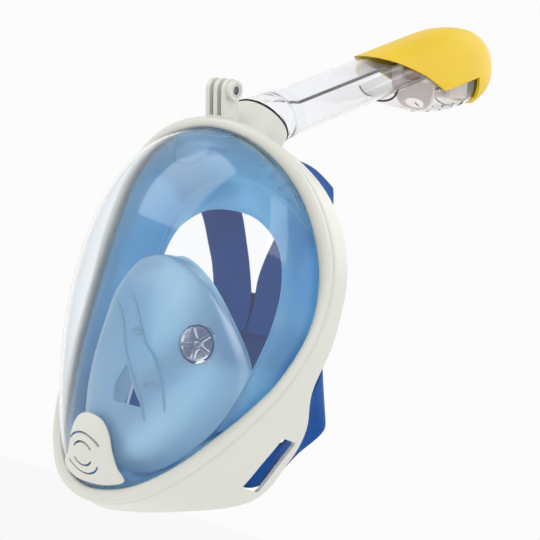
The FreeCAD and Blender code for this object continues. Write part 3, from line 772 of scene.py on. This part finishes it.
def openingTool():
    bm = bmesh.new()
    verts = [bm.verts.new(Vector((x, -70, z)) * mm) for x, z in cup["opening"]]
    face = bm.faces.new(verts)
    sides = bmesh.ops.extrude_face_region(bm, geom=[face])["geom"]
    moved = [g for g in sides if isinstance(g, bmesh.types.BMVert)]
    bmesh.ops.translate(bm, verts=moved, vec=Vector((0, 28 * mm, 0)))
    long = [e for e in bm.edges if abs((e.verts[0].co - e.verts[1].co).y) > 0.02]
    bmesh.ops.bevel(bm, geom=long, offset=1.2 * mm, affect="EDGES", segments=3, profile=0.5, material=-1)
    return toolFrom(bm, "openingTool")


def roundTool(centre, axis, radius, depth):
    bm = bmesh.new()
    turn = axis.to_track_quat("Z", "Y").to_matrix().to_4x4()
    place = Matrix.Translation(centre) @ turn
    bmesh.ops.create_cone(
        bm, cap_ends=True, segments=48, radius1=radius, radius2=radius, depth=2 * depth, matrix=place
    )
    return toolFrom(bm, "roundTool")


def curvePoints(route, parts):
    rows = [Vector(p) for p in [route[0]] + list(route) + [route[-1]]]
    points = []
    for a, b, c, d in zip(rows, rows[1:], rows[2:], rows[3:]):
        for j in range(parts):
            t = j / parts
            wa, wb, wc, wd = splineWeights(t)
            points.append(a * wa + b * wb + c * wc + d * wd)
    return points + [rows[-1]]


def addRib(name, surface, route, radius=0.75):
    spots = [surface.find_nearest(p * mm)[:2] for p in curvePoints(route, 8)]
    bm = bmesh.new()
    loop = None
    for i, (spot, normal) in enumerate(spots):
        ahead = spots[min(i + 1, len(spots) - 1)][0] - spots[max(i - 1, 0)][0]
        side = ahead.cross(normal).normalized()
        fade = min(1.0, 0.35 + min(i, len(spots) - 1 - i) * 0.2)
        ring = []
        for k in range(10):
            angle = 2 * math.pi * k / 10
            ring.append(spot + (side * math.cos(angle) + normal * math.sin(angle)) * (radius * mm * fade))
        loop = growLoop(bm, loop, ring) if loop else startLoop(bm, ring)
        if i == 0:
            bmesh.ops.edgeloop_fill(bm, edges=loopEdges(bm, loop))
    bmesh.ops.edgeloop_fill(bm, edges=loopEdges(bm, loop))
    bmesh.ops.recalc_face_normals(bm, faces=bm.faces)
    return finishMesh(name, bm, cupBlue, "mask")


def addButton(name, surface, place):
    spot, normal = surface.find_nearest(Vector(place) * mm)[:2]
    turn = normal.to_track_quat("Z", "Y").to_matrix().to_4x4()
    turn = Matrix.Translation(spot) @ turn @ Matrix.Diagonal((1.5, 0.8, 1.0, 1.0))
    foot, crown, height = (v * mm for v in cup["buttonSize"])
    bm = bmesh.new()
    bmesh.ops.create_cone(bm, cap_ends=True, segments=32, radius1=foot, radius2=crown, depth=height, matrix=turn)
    top = max(bm.faces, key=lambda f: (f.calc_center_median() - spot).dot(normal))
    bmesh.ops.inset_individual(bm, faces=[top], thickness=0.8 * mm, depth=-0.5 * mm)
    piece = finishMesh(name, bm, cupBlue, "mask")
    soften(piece, 0.15 * mm)
    return piece


makeNoseCup()
print("nose cup made")


# chin cover over the drain valve
chin = {
    "outline": [(0, -72), (9, -74), (14.5, -81), (17, -90), (20, -98), (24, -104), (14, -109), (0, -110.5)],
    "centre": (0, -57.0, -93.5),
    "axis": (0, -0.85, -0.52),
    "domes": [(1.0, 0.3), (1.0, 1.3), (0.985, 2.2), (0.95, 2.75)],
    "plates": [(0.86, 3.0), (0.76, 3.9), (0.66, 4.6), (0.5, 5.2), (0.3, 5.7), (0.1, 5.9)],
    "arcRadii": [7.5, 13.0],
    "arcWidth": 1.3,
    "arcStarts": (28, 208),  # degrees
    "arcLength": 124,
    "wall": 1.5,
}


def makeChinCover():
    centre = Vector(chin["centre"])
    axis = Vector(chin["axis"]).normalized()
    up = Vector((1, 0, 0)).cross(axis)
    up = up if up.z > 0 else -up
    flat = [(x, 0, z) for x, z in chin["outline"]]
    outline = smoothRing(flat, knotSteps(flat), 6)

    def onLens(share, height):
        ring = []
        for p in outline:
            x = p.x / mm * share
            z = centre.z + (p.z / mm - centre.z) * share
            ring.append((Vector((x, depthAt(x, z), z)) + axis * height) * mm)
        return ring

    def onPlate(share, height):
        middle = centre + axis * height
        return [
            (middle + Vector((p.x / mm * share, 0, 0)) + up * ((p.z / mm - centre.z) * share)) * mm for p in outline
        ]

    rails = [onLens(share, height) for share, height in chin["domes"]]
    for i, (share, height) in enumerate(chin["plates"]):
        blendShare = min((i + 1) / 3, 1.0)
        rails.append(mixed(onLens(share, height - 0.6), onPlate(share, height), blendShare))
    bm, last = ringBody(rails, False)
    bmesh.ops.edgeloop_fill(bm, edges=loopEdges(bm, last))
    turnOutward(bm, Vector((0, -0.03, -0.08)))
    cover = finishMesh("chin_cover_shell", bm, white, "mask", ["chin_cover"], 60.0)
    thicken(cover, chin["wall"] * mm)
    subdivide(cover, 1)
    freeze(cover)
    for radius in chin["arcRadii"]:
        for start in chin["arcStarts"]:
            applyCut(cover, arcTool(centre * mm, axis, up, radius, start, start + chin["arcLength"]))
    return cover


def arcTool(centre, axis, up, radius, start, end):
    side = Vector((1, 0, 0))
    half = chin["arcWidth"] / 2
    bm = bmesh.new()
    begin = math.radians(start)
    ray = side * math.cos(begin) + up * math.sin(begin)
    corners = [(-half, -3), (half, -3), (half, 14), (-half, 14)]
    verts = [bm.verts.new(centre + (ray * (radius + r) + axis * h) * mm) for r, h in corners]
    face = bm.faces.new(verts)
    turn = math.radians(end - start)
    direction = turn if side.cross(up).dot(axis) > 0 else -turn
    turned = [face] + face.edges[:] + verts
    bmesh.ops.spin(bm, geom=turned, cent=centre, axis=axis, angle=direction, steps=20, use_merge=False)
    bmesh.ops.remove_doubles(bm, verts=bm.verts, dist=1e-6)
    bmesh.ops.recalc_face_normals(bm, faces=bm.faces)
    return toolFrom(bm, "arcTool")


makeChinCover()
print("chin cover made")


# head straps: flat woven bands, each with a turn round its bar and a sewn end
straps = {
    "width": 33.0,
    "thickness": 1.8,
    "easedEdge": 0.7,
    "turnRadius": 3.85,
    "turnWall": 1.7,
    "turnWidth": 0.98,
    "upper_strap_left": [
        ((50, -12, 104), (0.78, 0.3, -0.55)), ((49, 6, 103), (0.82, 0.2, -0.53)),
        ((43, 24, 98), (0.86, 0, -0.5)),
        ((32, 37, 86), (0.9, -0.1, -0.4)), ((20, 45, 68), (0.95, -0.1, -0.3)), ((14, 52, 48), (1, 0, -0.1)),
        ((13, 57.6, 30), (1, 0, 0)), ((13, 58.0, 12), (1, 0, 0)),
    ],
    "upper_strap_right": [
        ((-50, -12, 104), (0.78, -0.3, 0.55)), ((-50, 8, 104), (0.85, -0.2, 0.48)),
        ((-47, 28, 100), (0.92, 0, 0.35)),
        ((-41, 41, 86), (1, 0, 0.2)), ((-34, 48, 68), (1, 0, 0.1)), ((-27, 53, 50), (1, 0, 0)),
        ((-22, 57.6, 30), (1, 0, 0)), ((-21, 58.0, 12), (1, 0, 0)),
    ],
    "lower_strap_left": [
        ((60, 20, -71), (0.24, 0.12, 0.96)), ((66, 29, -69), (0.3, 0.05, 0.95)),
        ((66.5, 40, -58), (0.2, -0.25, 0.93)), ((65, 53.4, -41), (0.1, -0.4, 0.9)),
        ((66, 65.6, -21.5), (-0.15, -0.45, 0.88)), ((55, 72.5, -9), (-0.1, -0.25, 0.96)),
        ((36, 72, 2), (0, -0.05, 1)), ((14, 66.6, 10), (0, 0, 1)),
    ],
    "lower_strap_right": [
        ((-60, 20, -71), (-0.24, 0.12, 0.96)), ((-66, 29, -69), (-0.3, 0.05, 0.95)),
        ((-66.5, 40, -58), (-0.2, -0.25, 0.93)),
        ((-65, 53.4, -41), (-0.1, -0.4, 0.9)), ((-66, 65.6, -24), (0.1, -0.4, 0.9)),
        ((-61, 72.5, -12), (0.05, -0.25, 0.96)), ((-52, 71.5, -3), (0, -0.05, 1)),
        ((-42, 66.6, 5), (0, 0, 1)),
    ],
    "tail": [
        ((50.9, -12, 105.2), (0.78, 0.3, -0.55)), ((54.5, 10.5, 103), (0.55, 0.15, -0.8)),
        ((55, 30.4, 95), (0.29, 0, -0.96)),
    ],
    "bars": {
        "lower": ((59.5, 17.2, -69), (0.24, 0.12, 0.96)),
        "upper": ((49.5, -14, 103.5), (0.78, 0.3, -0.55)),
    },
}


def bandSection(bm, loop, place, wide, thick):  # flat section with eased edges, ten vertices
    half = straps["width"] / 2
    deep = straps["thickness"] / 2
    eased = half - straps["easedEdge"]
    top = [(-half, 0.4), (-eased, 1), (0, 1), (eased, 1), (half, 0.4)]
    corners = top + [(a, -b) for a, b in reversed(top)]
    ring = [(place + wide * a + thick * (b * deep)) * mm for a, b in corners]
    return growLoop(bm, loop, ring) if loop else startLoop(bm, ring)


def makeBand(name, stations, body, replaced=()):
    places = curvePoints([s[0] for s in stations], 8)
    sides = curvePoints([s[1] for s in stations], 8)
    bm = bmesh.new()
    loop = None
    rings = []
    for i, (place, side) in enumerate(zip(places, sides)):
        run = places[min(i + 1, len(places) - 1)] - places[max(i - 1, 0)]
        wide = side.normalized()
        thick = run.cross(wide).normalized()
        loop = bandSection(bm, loop, place, wide, thick)
        rings.append(loop)
    for end in (rings[0], rings[-1]):
        bmesh.ops.edgeloop_fill(bm, edges=loopEdges(bm, end))
    layer = bm.loops.layers.uv.new("weave")
    lengths = [0.0]
    for a, b in zip(places, places[1:]):
        lengths.append(lengths[-1] + (b - a).length)
    spots = {}
    for ring, length in zip(rings, lengths):
        for k, vert in enumerate(ring):
            spots[vert] = (length * mm, (k if k < 5 else 9 - k) / 4 * straps["width"] * mm)
    for face in bm.faces:
        for corner in face.loops:
            corner[layer].uv = spots[corner.vert]
    bmesh.ops.recalc_face_normals(bm, faces=bm.faces)
    piece = finishMesh(name, bm, navy, body, replaced, 50.0)
    subdivide(piece, 2)
    return piece


def makeBarTurn(name, bar, side):  # the band's turn round its steel bar
    centre, axis = (Vector(v) for v in straps["bars"][bar])
    centre.x *= side
    axis = Vector((axis.x * side, axis.y, axis.z)).normalized()
    turn = Matrix.Translation(centre * mm) @ axis.to_track_quat("Z", "Y").to_matrix().to_4x4()
    bm = bmesh.new()
    radius = straps["turnRadius"] * mm
    width = straps["width"] * straps["turnWidth"] * mm
    bmesh.ops.create_cone(
        bm, cap_ends=False, segments=40, radius1=radius, radius2=radius, depth=width, matrix=turn
    )
    layer = bm.loops.layers.uv.new("weave")
    for face in bm.faces:
        for corner in face.loops:
            local = turn.inverted() @ corner.vert.co
            corner[layer].uv = (math.atan2(local.y, local.x) * radius, local.z)
    turnOutward(bm, centre * mm)
    piece = finishMesh(name, bm, navy, "mask")
    thicken(piece, straps["turnWall"] * mm)
    soften(piece, 0.4 * mm, 3)
    return piece


def makeStraps():
    for name in ("upper_strap_left", "upper_strap_right", "lower_strap_left", "lower_strap_right"):
        makeBand(name + "_band", straps[name], "mask", [name])
    for label, side in (("left", 1), ("right", -1)):
        tail = [((p[0] * side, p[1], p[2]), (w[0] * side, w[1], w[2])) for p, w in straps["tail"]]
        makeBand("upper_strap_tail_" + label, tail, "mask")
        for bar in ("lower", "upper"):
            makeBarTurn(bar + "_bar_turn_" + label, bar, side)


makeStraps()
print("straps made")


# rear pad: crowned cushion with a piped edge
pad = {
    "centre": (-14, 62, 14),
    "size": (80.0, 4.6, 52.0),
    "corner": 9.0,
    "crown": 0.9,
    "insets": [(1.0, 0.35), (1.6, -0.55), (4.0, 0.7), (7.0, 0.35)],  # width and rise, with the seam's groove
}


def makeRearPad():
    centre = Vector(pad["centre"]) * mm
    width, deep, height = (v * mm for v in pad["size"])
    bm = bmesh.new()
    bmesh.ops.create_cube(bm, size=1.0, matrix=Matrix.Diagonal((width, deep, height, 1.0)))
    upright = [e for e in bm.edges if abs((e.verts[0].co - e.verts[1].co).y) > deep * 0.9]
    corner = pad["corner"] * mm
    bmesh.ops.bevel(bm, geom=upright, offset=corner, affect="EDGES", segments=6, profile=0.5, material=-1)
    for side in (-1, 1):
        face = max(bm.faces, key=lambda f: f.calc_center_median().y * side)
        for thickness, rise in pad["insets"]:
            height = rise * pad["crown"] * mm
            bmesh.ops.inset_individual(bm, faces=[face], thickness=thickness * mm, depth=height)
    bmesh.ops.transform(bm, matrix=Matrix.Translation(centre), verts=bm.verts)
    piece = finishMesh("rear_pad_cushion", bm, padNavy, "mask", ["rear_pad"], 80.0)
    subdivide(piece, 2)
    return piece


makeRearPad()
print("rear pad made")


# snorkel, drawn along the tube: x across, y the underside, z from the mouth outward
snorkel = {
    "mouth": (0, 1.2, 139.5),
    "lean": 53.4,
    "plugLean": 22.4,
    "halfWidth": 19.2,
    "halfDepth": 15.7,
    "wall": 1.7,
    "start": 14.0,
    "end": 178.0,
    "loops": (18.0, 60.0, 120.0, 174.0),
    "sealRadius": 18.8,
    "sealRise": 0.75,
    "sealSection": (1.65, 0.62),
}
mouthPlace = Matrix.Translation(Vector(snorkel["mouth"]) * mm)
tubePlace = mouthPlace @ Matrix.Rotation(math.radians(-snorkel["lean"]), 4, "X")


def makeTube():
    bm = bmesh.new()
    ellipse = Matrix.Diagonal((snorkel["halfWidth"] * mm, snorkel["halfDepth"] * mm, 1.0, 1.0))
    made = bmesh.ops.create_circle(bm, segments=96, radius=1.0, matrix=ellipse)["verts"]
    bmesh.ops.translate(bm, verts=made, vec=Vector((0, 0, snorkel["start"] * mm)))
    loop = list(made)
    for z in (*snorkel["loops"], snorkel["end"]):
        places = [Vector((v.co.x, v.co.y, z * mm)) for v in loop]
        loop = growLoop(bm, loop, places)
    turnOutward(bm, Vector((0, 0, 0.1)))
    bmesh.ops.transform(bm, matrix=tubePlace, verts=bm.verts)
    tube = finishMesh("snorkel_tube_clear", bm, tubeClear, "snorkel", ["snorkel_tube"], 40.0)
    thicken(tube, snorkel["wall"] * mm)
    soften(tube, 0.4 * mm, 3, 50.0)
    return tube


def makeSeal():
    lean = math.radians(snorkel["plugLean"])
    axis = Vector((0, math.sin(lean), math.cos(lean)))
    turn = axis.to_track_quat("Z", "Y").to_matrix().to_4x4()
    place = Matrix.Translation(axis * snorkel["sealRise"] * mm) @ mouthPlace @ turn
    wide, high = (v * mm for v in snorkel["sealSection"])
    bm = bmesh.new()
    oval = Matrix.Diagonal((wide, high, 1.0, 1.0))
    section = bmesh.ops.create_circle(bm, segments=16, radius=1.0, matrix=oval)["verts"]
    bmesh.ops.rotate(bm, verts=section, cent=(0, 0, 0), matrix=Matrix.Rotation(math.radians(90), 3, "X"))
    bmesh.ops.translate(bm, verts=section, vec=Vector((snorkel["sealRadius"] * mm, 0, 0)))
    bmesh.ops.spin(
        bm, geom=bm.verts[:] + bm.edges[:], cent=(0, 0, 0), axis=(0, 0, 1), angle=2 * math.pi, steps=96, use_merge=True
    )
    bmesh.ops.transform(bm, matrix=place, verts=bm.verts)
    bmesh.ops.recalc_face_normals(bm, faces=bm.faces)
    return finishMesh("socket_seal_ring", bm, blackRubber, "snorkel", ["socket_seal"], 60.0)


makeTube()
makeSeal()
print("snorkel tube made")


# pieces carried over from the frame with rounded edges
carried = [
    ("snorkel_socket", white, "mask", "white_plastic", 0.4),
    ("camera_mount", white, "mask", "white_plastic", 0.35),
    ("clamp_ring", white, "mask", "white_plastic", 0.0),
    ("drain_seat", white, "mask", "white_plastic", 0.15),
    ("airway_plate", white, "mask", "white_plastic", 0.1),
    ("mount_nut", steel, "mask", "steel", 0.15),
    ("clamp_screws", steel, "mask", "steel", 0.15),
    ("lower_bar_left", steel, "mask", "steel", 0.3),
    ("lower_bar_right", steel, "mask", "steel", 0.3),
    ("upper_bar_left", steel, "mask", "steel", 0.3),
    ("upper_bar_right", steel, "mask", "steel", 0.3),
    ("inhale_seat_left", valveBlue, "mask", "valve_plastic", 0.25),
    ("inhale_seat_right", valveBlue, "mask", "valve_plastic", 0.25),
    ("inhale_flap_left", flapClear, "inhale_valve_left", "flap_rubber", 0.12),
    ("inhale_flap_right", flapClear, "inhale_valve_right", "flap_rubber", 0.12),
    ("drain_flap", flapClear, "drain_valve", "flap_rubber", 0.12),
    ("exhale_flap_left", flapClear, "exhale_valve_left", "flap_rubber", 0.08),
    ("exhale_flap_right", flapClear, "exhale_valve_right", "flap_rubber", 0.08),
    ("snorkel_elbow", tubeClear, "snorkel", "clear_plastic", 0.25),
    ("tube_partition", tubeClear, "snorkel", "clear_plastic", 0.15),
    ("float_cage", cageClear, "snorkel", "clear_plastic", 0.0),
    ("top_cap", yellow, "snorkel", "yellow_plastic", 0.3),
    ("port_seat", sealPale, "snorkel", "orange_seal", 0.2),
    ("float_pin", steel, "snorkel", "steel", 0.2),
    ("float_arm", armPale, "float_valve", "orange_plastic", 0.25),
    ("float_seal", orange, "float_valve", "orange_seal", 0.3),
    ("float_block", foam, "float_valve", "float_foam", 0.3),
]
for node, finish, body, slotName, width in carried:
    fromCad(node, finish, body, width * mm)
print("carried pieces finished")


# camera, floor and lights
camera = {
    "azimuth": 37.4,
    "elevation": -9.1,
    "roll": 17.5,
    "distance": 0.955,
    "target": (0.0328, 0.0154, 0.0481),
    "lens": 101.0,
}
studio = {
    "floorHeight": -0.62,
    "floorSize": 40.0,
    "world": 0.97,
    "panels": [
        ((-0.9, -1.1, 1.1), 1.0, 5.0),
        ((1.2, -0.5, 0.9), 0.8, 3.0),
        ((0.3, 1.0, 0.9), 0.9, 3.0),
    ],
}


def makeCamera():
    azimuth, elevation, roll = (math.radians(camera[k]) for k in ("azimuth", "elevation", "roll"))
    level = Vector((math.sin(azimuth), -math.cos(azimuth), 0))
    back = level * math.cos(elevation) + Vector((0, 0, math.sin(elevation)))
    right = Vector((math.cos(azimuth), math.sin(azimuth), 0))
    up = back.cross(right)
    turnedRight = right * math.cos(roll) + up * math.sin(roll)
    turnedUp = up * math.cos(roll) - right * math.sin(roll)
    place = Matrix((turnedRight, turnedUp, back)).transposed().to_4x4()
    place.translation = Vector(camera["target"]) + back * camera["distance"]
    data = bpy.data.cameras.new("camera")
    data.lens = camera["lens"]
    data.sensor_width = 36.0
    seen = bpy.data.objects.new("camera", data)
    seen.matrix_world = place
    bpy.context.scene.collection.objects.link(seen)
    bpy.context.scene.camera = seen


def makeFloor():
    paper = Finish("paleFloor", Roughness=0.9)
    cloud = paper.noise(2.0, 2.0)
    paper.feed("Base Color", paper.between(cloud, (0.95, 0.95, 0.95, 1.0), (0.98, 0.98, 0.98, 1.0)))
    bm = bmesh.new()
    bmesh.ops.create_grid(bm, x_segments=1, y_segments=1, size=studio["floorSize"])
    bmesh.ops.translate(bm, verts=bm.verts, vec=Vector((0, 0, studio["floorHeight"])))
    mesh = bpy.data.meshes.new("floor")
    bm.to_mesh(mesh)
    bm.free()
    mesh.materials.append(paper.material)
    floor = bpy.data.objects.new("floor", mesh)
    bpy.context.scene.collection.objects.link(floor)


def makeLights():
    world = bpy.data.worlds.new("studio")
    world.use_nodes = True
    world.node_tree.nodes["Background"].inputs["Color"].default_value = (1.0, 1.0, 1.0, 1.0)
    world.node_tree.nodes["Background"].inputs["Strength"].default_value = studio["world"]
    bpy.context.scene.world = world
    aim = Vector(camera["target"])
    for i, (place, size, power) in enumerate(studio["panels"]):
        data = bpy.data.lights.new("panel_%d" % i, "AREA")
        data.size = size
        data.energy = power
        lamp = bpy.data.objects.new("panel_%d" % i, data)
        lamp.location = place
        lamp.rotation_euler = (Vector(place) - aim).to_track_quat("Z", "Y").to_euler()
        bpy.context.scene.collection.objects.link(lamp)
    bpy.context.scene.view_settings.view_transform = "Standard"


makeCamera()
makeFloor()
makeLights()
print("camera, floor and lights set")
